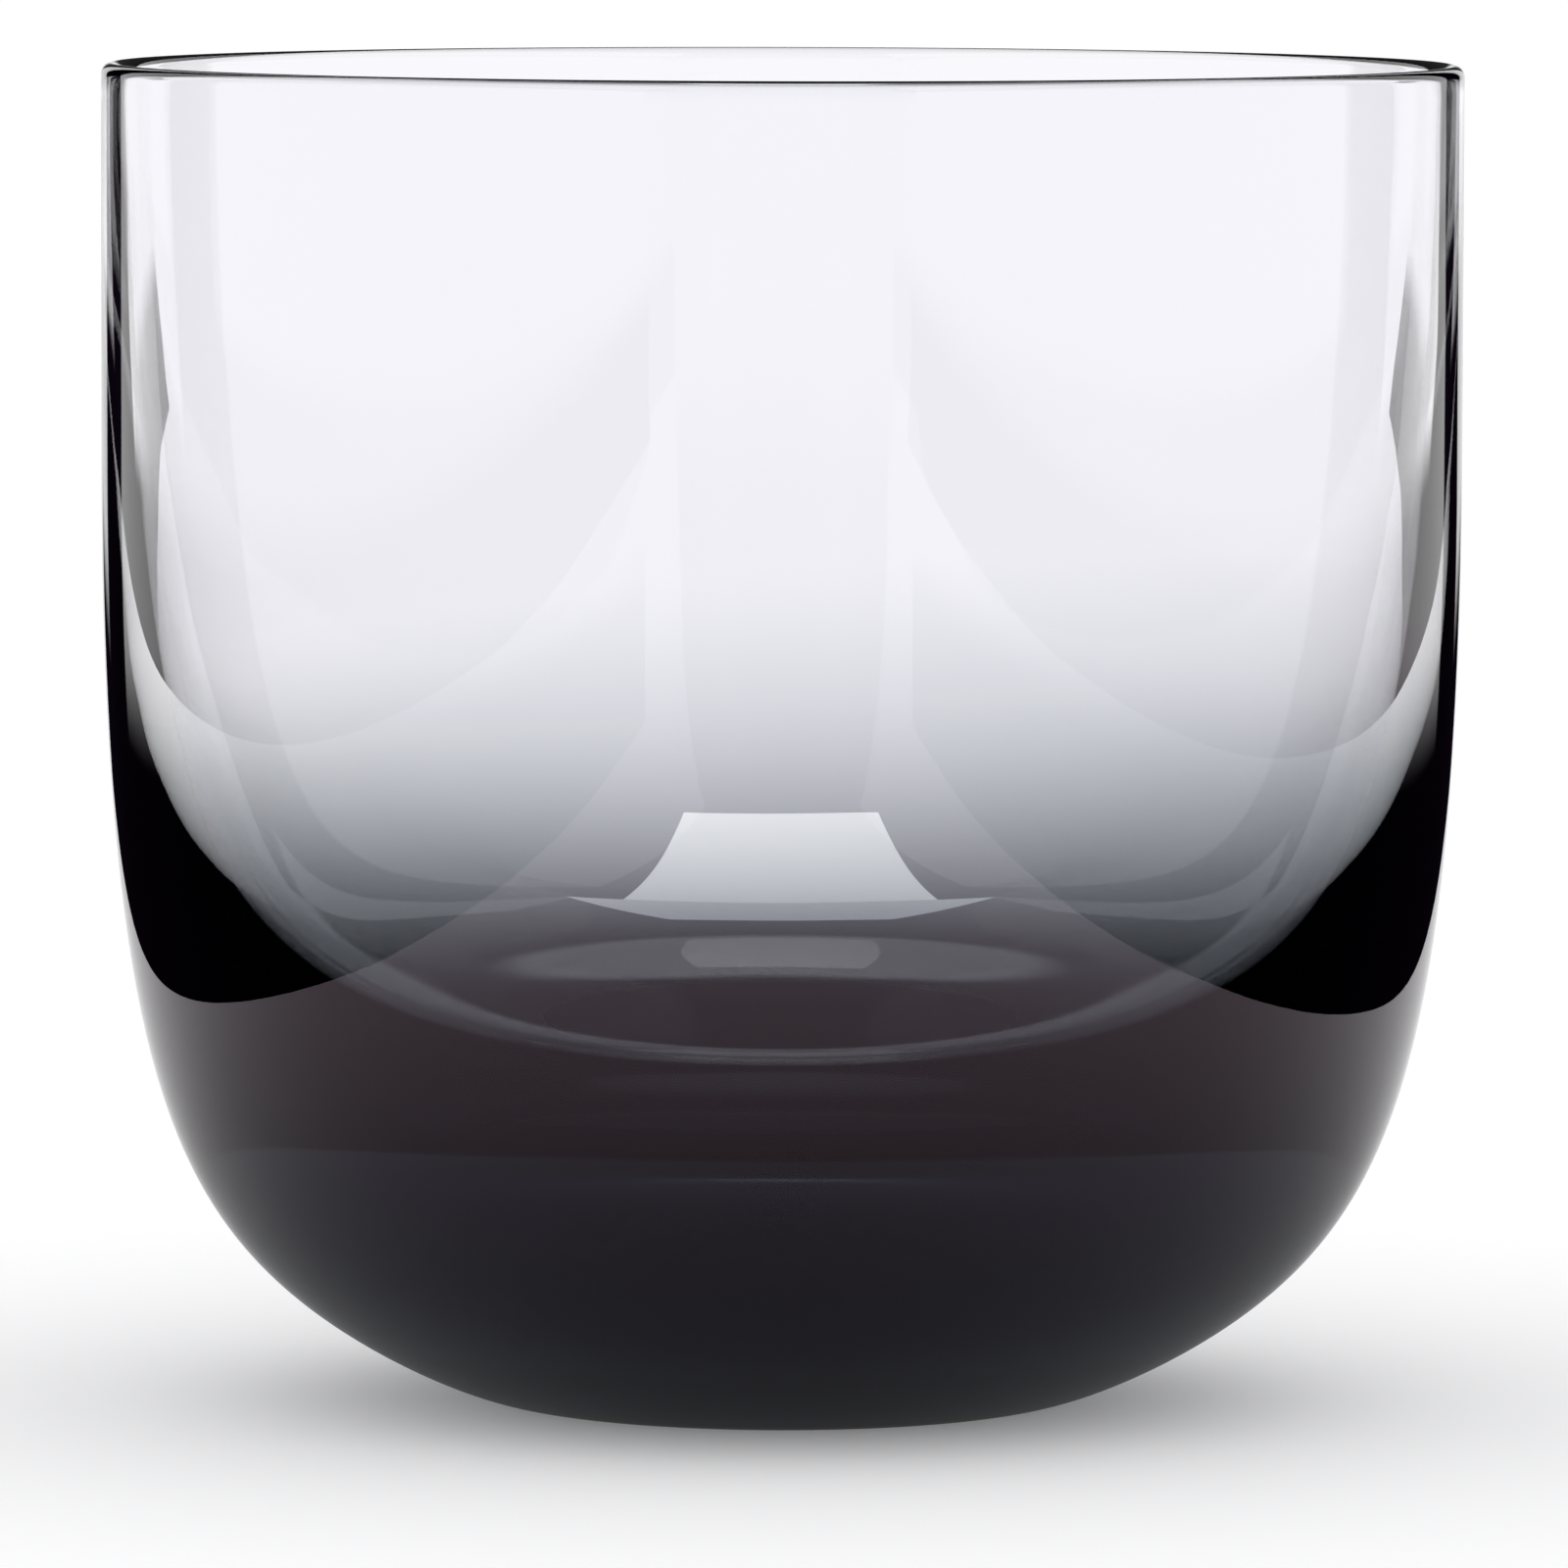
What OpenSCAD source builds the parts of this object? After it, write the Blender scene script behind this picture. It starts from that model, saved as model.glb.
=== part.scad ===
// Hand-blown whiskey tumbler: a clear bubble cased with a heavy smoke-coloured gather.
// Origin at the centre of the ground foot, +Z up through the mouth, millimetres.

/* [Overall] */
// Diameter across the straight upper wall
outer_d = 88; // [73:0.5:106]
// Height from the foot to the top of the rim
height = 86.6; // [72:0.2:104]

/* [Outside] */
// Diameter of the ground flat that the glass stands on
foot_d = 34.6; // [28:0.2:42]
// Height at which the rounded body has become a straight wall
shoulder_h = 59.8; // [57:0.2:72]

/* [Cavity] */
// Wall at the rim
rim_wall = 1.4; // [1.1:0.05:1.8]
// Solid glass between the foot and the cavity floor
base_t = 20; // [16.4:0.2:24]
// Width over which the middle of the cavity floor stays level
floor_d = 26; // [21:0.5:32]

/* [Smoke gather] */
// Height of the feathered upper edge of the smoke glass
smoke_h = 52; // [43:0.5:54.5]
// Clear lining left between the cavity floor and the smoke glass
lining_t = 0.4; // [0.3:0.02:0.5]

/* [Hidden] */
$fn = 96;
outer_r = outer_d / 2;
foot_r = foot_d / 2;
inner_r = outer_r - rim_wall;
curve_steps = 40; // chords in each curved outline
rim_steps = 8;    // chords in the fire-polished half round of the rim

// Shape of the outside: where the handles of its curve reach between the foot and the shoulder
sweep_r = 6.3;                // the curve leaves the foot level over this length
haunch = [0.750, 0.169];      // first haunch handle, as shares of the way out and up
hip = [0.912, 0.154];         // second haunch handle
flank = 0.567;                // straightening handle, as a share of the way up

// Shape of the cavity: how far its handles reach between the floor and the shoulder
floor_end = [0.565, 0.011];   // where the floor begins to turn up
corner = [0.920, -0.148];     // the turn from floor to wall
wall_foot = [0.950, 0.341];   // where the wall begins to straighten

// Shape of the seam: the same, between the middle of the lining and the smoke edge
seam_end = [0.786, 0.003];    // where the seam begins to turn up
seam_corner = [0.699, -0.131];
feather = [0.983, 0.700];     // how late the smoke thins out below its edge

function mix(a, b, t) = a + (b - a) * t;

// Point of the Bezier curve with handles p at t, by repeated halving of the handle list
function bezier(p, t) =
    len(p) == 1 ? p[0] : bezier([for (i = [0 : len(p) - 2]) mix(p[i], p[i + 1], t)], t);

// Curve value t at which a rising curve p reaches height z
function t_at(p, z, low = 0, high = 1, turns = 24) =
    let (mid = (low + high) / 2)
    turns == 0 ? mid
    : bezier(p, mid).y < z ? t_at(p, z, mid, high, turns - 1)
    : t_at(p, z, low, mid, turns - 1);

// Chain of points along curve p from t = a to t = b
function chain(p, a = 0, b = 1) = [for (i = [0 : curve_steps]) bezier(p, mix(a, b, i / curve_steps))];

function between(low, high, share) = [mix(low.x, high.x, share.x), mix(low.y, high.y, share.y)];

foot_edge = [foot_r, 0];
shoulder = [outer_r, shoulder_h];
OUTSIDE = [
    foot_edge,
    foot_edge + [sweep_r, 0],
    between(foot_edge, shoulder, haunch),
    between(foot_edge, shoulder, hip),
    [outer_r, shoulder_h * flank],
    shoulder
];

floor_mid = [0, base_t];
level = [floor_d / 2, 0];
cavity_shoulder = [inner_r, shoulder_h];
rim_z = height - rim_wall / 2;
CAVITY = [
    floor_mid,
    floor_mid + level,
    between(floor_mid, cavity_shoulder, floor_end),
    between(floor_mid, cavity_shoulder, corner),
    between(floor_mid, cavity_shoulder, wall_foot),
    cavity_shoulder,
    [inner_r, rim_z]
];

t_smoke = t_at(OUTSIDE, smoke_h);
smoke_edge = bezier(OUTSIDE, t_smoke);
WALL_ABOVE = chain(OUTSIDE, t_smoke, 1);
BODY_BELOW = chain(OUTSIDE, 0, t_smoke);
lining_mid = floor_mid - [0, lining_t];
SEAM = [
    lining_mid,
    lining_mid + level,
    between(lining_mid, smoke_edge, seam_end),
    between(lining_mid, smoke_edge, seam_corner),
    between(lining_mid, smoke_edge, feather),
    smoke_edge
];

function rim_round() = [
    for (i = [0 : rim_steps])
        [(outer_r + inner_r) / 2, rim_z] + rim_wall / 2 * [cos(180 * i / rim_steps), sin(180 * i / rim_steps)]
];

function backwards(p) = [for (i = [len(p) - 1 : -1 : 0]) p[i]];

// Rim, wall and lining of the cavity, in clear glass
module clear_bubble() {
    color("ghostwhite", 0.4)
        rotate_extrude()
            polygon(concat(chain(SEAM), WALL_ABOVE, rim_round(), backwards(chain(CAVITY))));
}

// Heavy base in smoke glass, feathering out up the wall
module smoke_gather() {
    color([0.13, 0.11, 0.15])
        rotate_extrude()
            polygon(concat([[0, 0]], BODY_BELOW, backwards(chain(SEAM))));
}

clear_bubble();
smoke_gather();
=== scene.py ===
import math

import bpy
import numpy as np
from mathutils import Euler, Matrix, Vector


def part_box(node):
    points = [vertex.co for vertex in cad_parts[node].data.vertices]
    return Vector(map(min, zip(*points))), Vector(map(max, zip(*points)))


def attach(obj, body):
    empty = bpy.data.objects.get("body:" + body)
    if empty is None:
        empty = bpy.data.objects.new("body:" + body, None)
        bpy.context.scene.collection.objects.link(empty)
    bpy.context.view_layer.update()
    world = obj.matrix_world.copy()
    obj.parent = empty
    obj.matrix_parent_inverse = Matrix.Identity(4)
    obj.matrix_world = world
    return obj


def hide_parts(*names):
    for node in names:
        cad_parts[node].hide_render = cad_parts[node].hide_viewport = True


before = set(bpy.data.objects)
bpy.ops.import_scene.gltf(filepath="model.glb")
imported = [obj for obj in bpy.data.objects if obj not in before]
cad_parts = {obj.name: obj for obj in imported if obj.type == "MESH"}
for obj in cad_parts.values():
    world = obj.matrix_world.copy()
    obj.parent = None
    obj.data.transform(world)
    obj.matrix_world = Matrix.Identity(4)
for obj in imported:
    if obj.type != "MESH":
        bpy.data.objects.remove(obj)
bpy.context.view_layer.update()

MM = 0.001

# ---------------------------------------------------------------- sizes
# Overall sizes come from the frame. The rest repeats the named sizes of part.scad.
glass_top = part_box("clear_bubble")[1]
foot_low, foot_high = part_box("smoke_gather")
OUTER_R = glass_top.x
HEIGHT = glass_top.z
SMOKE_H = foot_high.z
FOOT_Z = foot_low.z
FOOT_R = 17.3 * MM
SHOULDER_H = 59.8 * MM
RIM_WALL = 1.4 * MM
BASE_T = 20.0 * MM
FLOOR_LEVEL = 13.0 * MM
LINING_T = 0.4 * MM
INNER_R = OUTER_R - RIM_WALL
RIM_Z = HEIGHT - RIM_WALL / 2

SWEEP_R = 6.3 * MM
HAUNCH = (0.750, 0.169)
HIP = (0.912, 0.154)
FLANK = 0.567
FLOOR_END = (0.565, 0.011)
CORNER = (0.920, -0.148)
WALL_FOOT = (0.950, 0.341)
SEAM_END = (0.786, 0.003)
SEAM_CORNER = (0.699, -0.131)
FEATHER = (0.983, 0.700)

SMOKE_TILT = 3.7 * MM  # the hand-gathered smoke edge is this much above its mean at +X, and below it at -X
SEAM_GAP = 0.02 * MM  # between the two pieces, so that no two faces share a plane
SEAM_CLOSING = 0.08  # the gap closes over this share of the seam, below the smoke edge

TURNS = 288  # steps round the axis
SEAM_STEPS = 110
BODY_STEPS = 200
BAND_STEPS = 60  # from the smoke edge to the shoulder
WALL_STEPS = 24
LIP_STEPS = 20
CAVITY_STEPS = 260
FOOT_STEPS = 8
EASE = 0.65  # how far the steps of a long curve crowd towards its ends
HALVINGS = 40


def between(a, b, share):
    return (a[0] + (b[0] - a[0]) * share[0], a[1] + (b[1] - a[1]) * share[1])


def bezier(handles, t):
    """Points of a Bezier curve at the values t, as rows of (r, z)."""
    t = np.asarray(t, float)[:, None]
    rows = [np.broadcast_to(np.array(h, float), (len(t), 2)) for h in handles]
    while len(rows) > 1:
        rows = [a * (1 - t) + b * t for a, b in zip(rows, rows[1:])]
    return rows[0]


def value_at(handles, z):
    """Curve value at which a rising curve reaches height z."""
    a, b = 0.0, 1.0
    for _ in range(HALVINGS):
        m = (a + b) / 2
        if bezier(handles, [m])[0, 1] < z:
            a = m
        else:
            b = m
    return (a + b) / 2


foot_edge = (FOOT_R, FOOT_Z)
shoulder = (OUTER_R, SHOULDER_H)
OUTSIDE = [
    foot_edge,
    (FOOT_R + SWEEP_R, FOOT_Z),
    between(foot_edge, shoulder, HAUNCH),
    between(foot_edge, shoulder, HIP),
    (OUTER_R, SHOULDER_H * FLANK),
    shoulder,
]
floor_mid = (0.0, BASE_T)
cavity_shoulder = (INNER_R, SHOULDER_H)
CAVITY = [
    floor_mid,
    (FLOOR_LEVEL, BASE_T),
    between(floor_mid, cavity_shoulder, FLOOR_END),
    between(floor_mid, cavity_shoulder, CORNER),
    between(floor_mid, cavity_shoulder, WALL_FOOT),
    cavity_shoulder,
    (INNER_R, RIM_Z),
]


def seam_handles(edge):
    lining = (0.0, BASE_T - LINING_T)
    return [
        lining,
        (FLOOR_LEVEL, lining[1]),
        between(lining, edge, SEAM_END),
        between(lining, edge, SEAM_CORNER),
        between(lining, edge, FEATHER),
        edge,
    ]


def eased(n):
    """n + 1 values from 0 to 1, closer together at both ends."""
    u = np.linspace(0, 1, n + 1)
    return (1 - EASE) * u + EASE * (0.5 - 0.5 * np.cos(np.pi * u))


def seam_line(phi, side):
    """The fused face at angle phi, from the axis out, and the curve value of the smoke edge.

    side is 1 for the clear piece and -1 for the smoke.
    """
    t_edge = value_at(OUTSIDE, SMOKE_H - SMOKE_TILT + SMOKE_TILT * math.cos(phi))
    edge = tuple(bezier(OUTSIDE, [t_edge])[0])
    u = eased(SEAM_STEPS)
    line = bezier(seam_handles(edge), u)
    step = np.gradient(line, axis=0)
    normal = np.stack([-step[:, 1], step[:, 0]], 1)
    normal /= np.linalg.norm(normal, axis=1)[:, None]
    taper = np.clip((1 - u) / SEAM_CLOSING, 0, 1)[:, None]
    return line + side * normal * taper * SEAM_GAP / 2, t_edge


def lip_point(turn):
    """Point of the half round of the rim, from the outside (0) to the cavity (1)."""
    mid_r = (OUTER_R + INNER_R) / 2
    angle = math.pi * turn
    return (mid_r + RIM_WALL / 2 * math.cos(angle), RIM_Z + RIM_WALL / 2 * math.sin(angle))


def clear_outline(phi):
    """Rows of the clear piece, the row of the sharp smoke edge, and the first and last rows of the seam."""
    seam, t_edge = seam_line(phi, 1)
    outside = bezier(OUTSIDE, t_edge + (1 - t_edge) * np.linspace(0, 1, BAND_STEPS + 1))
    wall = RIM_Z - SHOULDER_H
    straight = [(OUTER_R, SHOULDER_H + wall * i / WALL_STEPS) for i in range(1, WALL_STEPS)]
    lip = [lip_point(i / LIP_STEPS) for i in range(LIP_STEPS + 1)]
    cavity = bezier(CAVITY, eased(CAVITY_STEPS))[::-1]
    edge_row = len(seam) - 1
    rows = np.vstack([seam[:-1], outside, straight, lip, cavity[1:]])
    return rows, edge_row, 0, edge_row


def smoke_outline(phi):
    """The same for the smoke piece."""
    seam, t_edge = seam_line(phi, -1)
    outside = bezier(OUTSIDE, t_edge * eased(BODY_STEPS))
    foot = [(FOOT_R * i / FOOT_STEPS, FOOT_Z) for i in range(FOOT_STEPS)]
    rows = np.vstack([foot, outside, seam[::-1][1:]])
    edge_row = len(foot) + len(outside) - 1
    return rows, edge_row, edge_row, len(rows) - 1


def lathe(name, outline):
    """A closed mesh of revolution whose outline may change with the angle.

    Faces on the fused seam carry seam = 1, and the smoke edge is marked sharp.
    """
    rings = []
    for i in range(TURNS):
        phi = 2 * math.pi * i / TURNS
        rows, sharp_row, seam_from, seam_to = outline(phi)
        inner = rows[1:-1]
        rings.append(
            np.stack([inner[:, 0] * math.cos(phi), inner[:, 0] * math.sin(phi), inner[:, 1]], 1)
        )
    bottom, top = rows[0], rows[-1]
    count = len(rings[0])
    verts = np.vstack(rings + [[[0, 0, bottom[1]], [0, 0, top[1]]]])
    first, last = len(verts) - 2, len(verts) - 1
    faces, seam = [], []
    for i in range(TURNS):
        a, b = i * count, (i + 1) % TURNS * count
        faces.append((first, b, a))
        seam.append(1.0 if seam_from == 0 and seam_to > 0 else 0.0)
        for k in range(count - 1):
            faces.append((a + k, b + k, b + k + 1, a + k + 1))
            seam.append(1.0 if seam_from <= k + 1 < seam_to else 0.0)
        faces.append((last, a + count - 1, b + count - 1))
        seam.append(1.0 if seam_to == count + 1 else 0.0)
    mesh = bpy.data.meshes.new(name)
    mesh.from_pydata(verts.tolist(), [], faces)
    mesh.update()
    mesh.shade_smooth()
    mark = mesh.attributes.new("seam", "FLOAT", "FACE")
    mark.data.foreach_set("value", np.array(seam, np.float32))
    ring = sharp_row - 1
    sharp = np.zeros(len(mesh.edges), bool)
    ends = np.zeros(len(mesh.edges) * 2, np.int64)
    mesh.edges.foreach_get("vertices", ends)
    ends = ends.reshape(-1, 2)
    body = ends.max(1) < TURNS * count
    sharp[body] = (ends[body, 0] % count == ring) & (ends[body, 1] % count == ring)
    crease = mesh.attributes.new("sharp_edge", "BOOLEAN", "EDGE")
    crease.data.foreach_set("value", sharp)
    obj = bpy.data.objects.new(name, mesh)
    bpy.context.scene.collection.objects.link(obj)
    return obj


# ---------------------------------------------------------------- materials
class Graph:
    """Short ways to add and link shader nodes."""

    def __init__(self, tree):
        self.tree = tree

    def node(self, kind, **inputs):
        node = self.tree.nodes.new(kind)
        for name, value in inputs.items():
            self.put(value, node.inputs[name])
        return node

    def put(self, value, socket):
        if isinstance(value, bpy.types.NodeSocket):
            self.tree.links.new(value, socket)
        else:
            socket.default_value = value

    def math(self, kind, *values):
        node = self.tree.nodes.new("ShaderNodeMath")
        node.operation = kind
        for value, socket in zip(values, node.inputs):
            self.put(value, socket)
        return node.outputs[0]

    def noise(self, place, scale, **inputs):
        return self.node("ShaderNodeTexNoise", Vector=place, Scale=scale, **inputs).outputs[0]

    def place(self):
        """The X, Y and Z of the shaded point."""
        geometry = self.tree.nodes.new("ShaderNodeNewGeometry")
        split = self.node("ShaderNodeSeparateXYZ", Vector=geometry.outputs["Position"])
        return split.outputs["X"], split.outputs["Y"], split.outputs["Z"]

    def ramp(self, value, start, end):
        """0 before start, 1 after end, smooth between."""
        node = self.tree.nodes.new("ShaderNodeMapRange")
        node.interpolation_type = "SMOOTHSTEP"
        for name, v in (("Value", value), ("From Min", start), ("From Max", end)):
            self.put(v, node.inputs[name])
        return node.outputs["Result"]

    def in_glass(self):
        """1 for what is seen through the glass or reflected in it, else 0."""
        path = self.tree.nodes.new("ShaderNodeLightPath")
        return self.math("MAXIMUM", path.outputs["Is Glossy Ray"], path.outputs["Is Transmission Ray"])


def empty_material(name):
    mat = bpy.data.materials.new(name)
    mat.use_nodes = True
    mat.node_tree.nodes.clear()
    return mat, Graph(mat.node_tree)


GLASS_IOR = 1.5
WAVE_SCALE = 55.0  # waves of the hand-blown surface per metre
WAVE_DEPTH = 0.06 * MM
GRIND_SCALE = 5200.0  # grain of the ground foot per metre
GRIND_DEPTH = 0.004 * MM
GRIND_GLOSS = (0.28, 0.42)  # roughness of the ground foot, from its smoothest patch to its roughest
PATCH_SCALE = 330.0  # patches of smoother and rougher grinding per metre
GRIND_TOP = (FOOT_Z + 0.00001, FOOT_Z + 0.00012)  # the grinding stops between these heights
TINT = (0.951, 0.946, 0.972)
CLEAR_SHEEN = (1, 1, 1)
SMOKE_SHEEN = (1.0, 0.76, 0.94)
SMOKE_ABSORB = (90.0, 85.0, 79.0)  # per metre, in red, green and blue
DENSITY_MARGIN = 1.05  # the volume's density over its greatest absorption, so that no colour reaches 0


def glass(name, gloss, absorb):
    """Clear or smoke glass. gloss tints its reflections, and absorb is its absorption, or None."""
    mat, g = empty_material(name)
    seam = g.node("ShaderNodeAttribute")
    seam.attribute_name = "seam"
    fused = seam.outputs["Fac"]
    # The fused face takes no light and bends none: it is white, and its index is 1
    tint = g.node("ShaderNodeMixRGB", Fac=fused, Color1=(*TINT, 1), Color2=(1, 1, 1, 1)).outputs[0]
    index = g.math("SUBTRACT", GLASS_IOR, g.math("MULTIPLY", fused, GLASS_IOR - 1))
    # Slow waves left by blowing, and a satin grain on the ground foot
    place = g.node("ShaderNodeNewGeometry").outputs["Position"]
    height = g.node("ShaderNodeSeparateXYZ", Vector=place).outputs["Z"]
    ground = g.math("SUBTRACT", 1.0, g.ramp(height, *GRIND_TOP))
    waves = g.noise(place, WAVE_SCALE, Detail=1.5, Roughness=0.35)
    grain = g.math("MULTIPLY", g.noise(place, GRIND_SCALE, Detail=3.0), ground)
    wave_relief = g.math("MULTIPLY", waves, WAVE_DEPTH)
    relief = g.math("ADD", wave_relief, g.math("MULTIPLY", grain, GRIND_DEPTH))
    normal = g.node("ShaderNodeBump", Height=relief, Distance=1.0, Strength=1.0).outputs[0]
    smoothest, roughest = GRIND_GLOSS
    patches = g.noise(place, PATCH_SCALE, Detail=4.0)
    satin = g.math("ADD", smoothest, g.math("MULTIPLY", patches, roughest - smoothest))
    rough = g.math("MULTIPLY", satin, ground)
    shader = g.node("ShaderNodeBsdfPrincipled", IOR=index, Roughness=rough, Normal=normal)
    g.put(tint, shader.inputs["Base Color"])
    g.put(1.0, shader.inputs["Transmission Weight"])
    g.put((*gloss, 1), shader.inputs["Specular Tint"])
    out = g.node("ShaderNodeOutputMaterial", Surface=shader.outputs[0])
    if absorb:
        density = max(absorb) * DENSITY_MARGIN
        hue = (*[1 - a / density for a in absorb], 1)
        volume = g.node("ShaderNodeVolumeAbsorption", Color=hue, Density=density)
        g.put(volume.outputs[0], out.inputs["Volume"])
    return mat


def glowing(name, glow):
    mat, g = empty_material(name)
    g.node("ShaderNodeOutputMaterial", Surface=g.node("ShaderNodeEmission", Color=(*glow, 1)).outputs[0])
    return mat


clear = lathe("clear_bowl", clear_outline)
clear.data.materials.append(glass("clear_glass", CLEAR_SHEEN, None))
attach(clear, "root")
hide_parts("clear_bubble")

smoke = lathe("smoke_base", smoke_outline)
smoke.data.materials.append(glass("smoke_glass", SMOKE_SHEEN, SMOKE_ABSORB))
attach(smoke, "root")
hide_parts("smoke_gather")


# ---------------------------------------------------------------- studio
# Heights, places and reaches are in metres, as (start, end) where something fades.
ROOM = (1.03, 1.03, 1.035, 1)
BACKDROP_TOP = (0.0, 0.08)  # by way of the glass, the room darkens between these sines of elevation
BACKDROP_DARK = 0.97  # and loses this share of its light
FLOOR_SIZE = 4.0
FLOOR_COLOR = (0.86, 0.86, 0.865, 1)
FLOOR_OWN_LIGHT = (0.17, 0.17, 0.17, 1)
FLOOR_DROP = 0.0001  # the floor that the glass sees lies this far below the other
FLOOR_TINT = (1.0, 1.0, 1.01)
SHADE_START = 0.017  # the shade round the foot begins at this radius
SHADE_REACH = 0.07
SHADE_POWER = 1.38
SHADE_DEPTH = 0.94
SIDE_CARDS = (("left", -0.125), ("right", 0.120))
SIDE_CARD_Y = (-0.32, 0.435)
SIDE_CARD_H = 0.4
CARD_BLACK = (0.0045, 0.0022, 0.006, 1)
CARD_TOP = (0.026, 0.040)
TALL_FROM = (0.122, 0.128)  # the tall black stretch of a side card, along Y
TALL_TO = (0.235, 0.245)
CARD_BACK = 0.05  # how far behind the axis the white card stands
CARD_WAIST = 0.0078  # its two parts meet at this height
UPPER_CARD = ((CARD_WAIST, 0.0124), (0.025, 0.0074))  # height and half width, below and above
LOWER_CARD = ((0.0005, 0.0085), (CARD_WAIST, 0.0170))
UPPER_GLOW = (1.75, 1.73, 1.65)
LOWER_GLOW = (1.35, 1.33, 1.30)
GLASS_BOUNCES = 32  # enough for light to cross every wall of the bowl and be reflected inside them
GLOSSY_BOUNCES = 16


def panel(name, corners, material, camera=False, diffuse=False, shadow=False):
    mesh = bpy.data.meshes.new(name)
    mesh.from_pydata(corners, [], [tuple(range(len(corners)))])
    mesh.materials.append(material)
    obj = bpy.data.objects.new(name, mesh)
    bpy.context.scene.collection.objects.link(obj)
    obj.visible_camera = camera
    obj.visible_diffuse = diffuse
    obj.visible_shadow = shadow
    return obj


def floor_white(name):
    """The pale floor as the camera sees it: mostly lit by the room, with a little light of its own."""
    mat, g = empty_material(name)
    lit = g.node("ShaderNodeBsdfDiffuse", Color=FLOOR_COLOR)
    own = g.node("ShaderNodeEmission", Color=FLOOR_OWN_LIGHT)
    both = g.node("ShaderNodeAddShader")
    g.put(lit.outputs[0], both.inputs[0])
    g.put(own.outputs[0], both.inputs[1])
    g.node("ShaderNodeOutputMaterial", Surface=both.outputs[0])
    return mat


def floor_glow(name):
    """What the glass sees of the floor: pale far off, darker towards the shaded foot."""
    mat, g = empty_material(name)
    x, y, _ = g.place()
    away = g.math("SQRT", g.math("ADD", g.math("MULTIPLY", x, x), g.math("MULTIPLY", y, y)))
    steps = g.math("MAXIMUM", g.math("SUBTRACT", away, SHADE_START), 0.0)
    fall = g.math("POWER", g.math("DIVIDE", steps, SHADE_REACH), SHADE_POWER)
    shade = g.math("MULTIPLY", g.math("EXPONENT", g.math("MULTIPLY", fall, -1.0)), SHADE_DEPTH)
    strength = g.math("SUBTRACT", 1.0, shade)
    glow = g.node("ShaderNodeEmission", Color=(*FLOOR_TINT, 1), Strength=strength)
    g.node("ShaderNodeOutputMaterial", Surface=glow.outputs[0])
    return mat


def floor_corners(z):
    return [(x * FLOOR_SIZE, y * FLOOR_SIZE, z) for x, y in ((-1, -1), (1, -1), (1, 1), (-1, 1))]


floor = panel(
    "floor", floor_corners(0), floor_white("floor_white"), camera=True, diffuse=True, shadow=True
)
floor.visible_transmission = False
floor.visible_glossy = False
panel("floor_seen_in_glass", floor_corners(-FLOOR_DROP), floor_glow("floor_glow"))


def card_glow(name):
    """Black card whose upper part fades to the pale room, but for one tall black stretch."""
    mat, g = empty_material(name)
    _, y, z = g.place()
    tall = g.math("MULTIPLY", g.ramp(y, *TALL_FROM), g.math("SUBTRACT", 1.0, g.ramp(y, *TALL_TO)))
    pale = g.math("MULTIPLY", g.ramp(z, *CARD_TOP), g.math("SUBTRACT", 1.0, tall))
    color = g.node("ShaderNodeMixRGB", Fac=pale, Color1=CARD_BLACK, Color2=ROOM).outputs[0]
    g.node("ShaderNodeOutputMaterial", Surface=g.node("ShaderNodeEmission", Color=color).outputs[0])
    return mat


card = card_glow("card_black")
front, back = SIDE_CARD_Y
for side, x in SIDE_CARDS:
    corners = [(x, front, 0), (x, back, 0), (x, back, SIDE_CARD_H), (x, front, SIDE_CARD_H)]
    panel("black_card_" + side, corners, card)


def upright_card(name, ends, glow):
    """White card behind the glass. ends are its foot and its top, each as height and half width."""
    (z0, w0), (z1, w1) = ends
    corners = [(-w0, CARD_BACK, z0), (w0, CARD_BACK, z0), (w1, CARD_BACK, z1), (-w1, CARD_BACK, z1)]
    panel(name, corners, glowing(name + "_white", glow))


upright_card("reflector_upper", UPPER_CARD, UPPER_GLOW)
upright_card("reflector_lower", LOWER_CARD, LOWER_GLOW)

scene = bpy.context.scene
world = bpy.data.worlds.new("studio")
scene.world = world
world.use_nodes = True
world.node_tree.nodes.clear()
sky = Graph(world.node_tree)
toward = sky.node("ShaderNodeSeparateXYZ", Vector=sky.node("ShaderNodeTexCoord").outputs["Generated"])
overhead = sky.math("MULTIPLY", sky.ramp(toward.outputs["Z"], *BACKDROP_TOP), sky.in_glass())
background = sky.node(
    "ShaderNodeBackground",
    Color=ROOM,
    Strength=sky.math("SUBTRACT", 1.0, sky.math("MULTIPLY", overhead, BACKDROP_DARK)),
)
sky.node("ShaderNodeOutputWorld", Surface=background.outputs[0])
scene.view_settings.view_transform = "Standard"
scene.cycles.max_bounces = GLASS_BOUNCES
scene.cycles.transmission_bounces = GLASS_BOUNCES
scene.cycles.glossy_bounces = GLOSSY_BOUNCES

# ---------------------------------------------------------------- camera
CAMERA_X = 0.00019
CAMERA_AWAY = 0.836
CAMERA_H = 0.1079
LENS = 296.9
PITCH = math.radians(4.65)
ROLL = math.radians(0.14)
camera_data = bpy.data.cameras.new("camera")
camera_data.sensor_width = 36
camera_data.lens = LENS
camera_data.clip_start = 0.01
camera_data.clip_end = 50
camera = bpy.data.objects.new("camera", camera_data)
scene.collection.objects.link(camera)
camera.matrix_world = (
    Matrix.Translation((CAMERA_X, -CAMERA_AWAY, CAMERA_H))
    @ Euler((math.pi / 2 - PITCH, 0, 0)).to_matrix().to_4x4()
    @ Matrix.Rotation(ROLL, 4, "Z")
)
scene.camera = camera
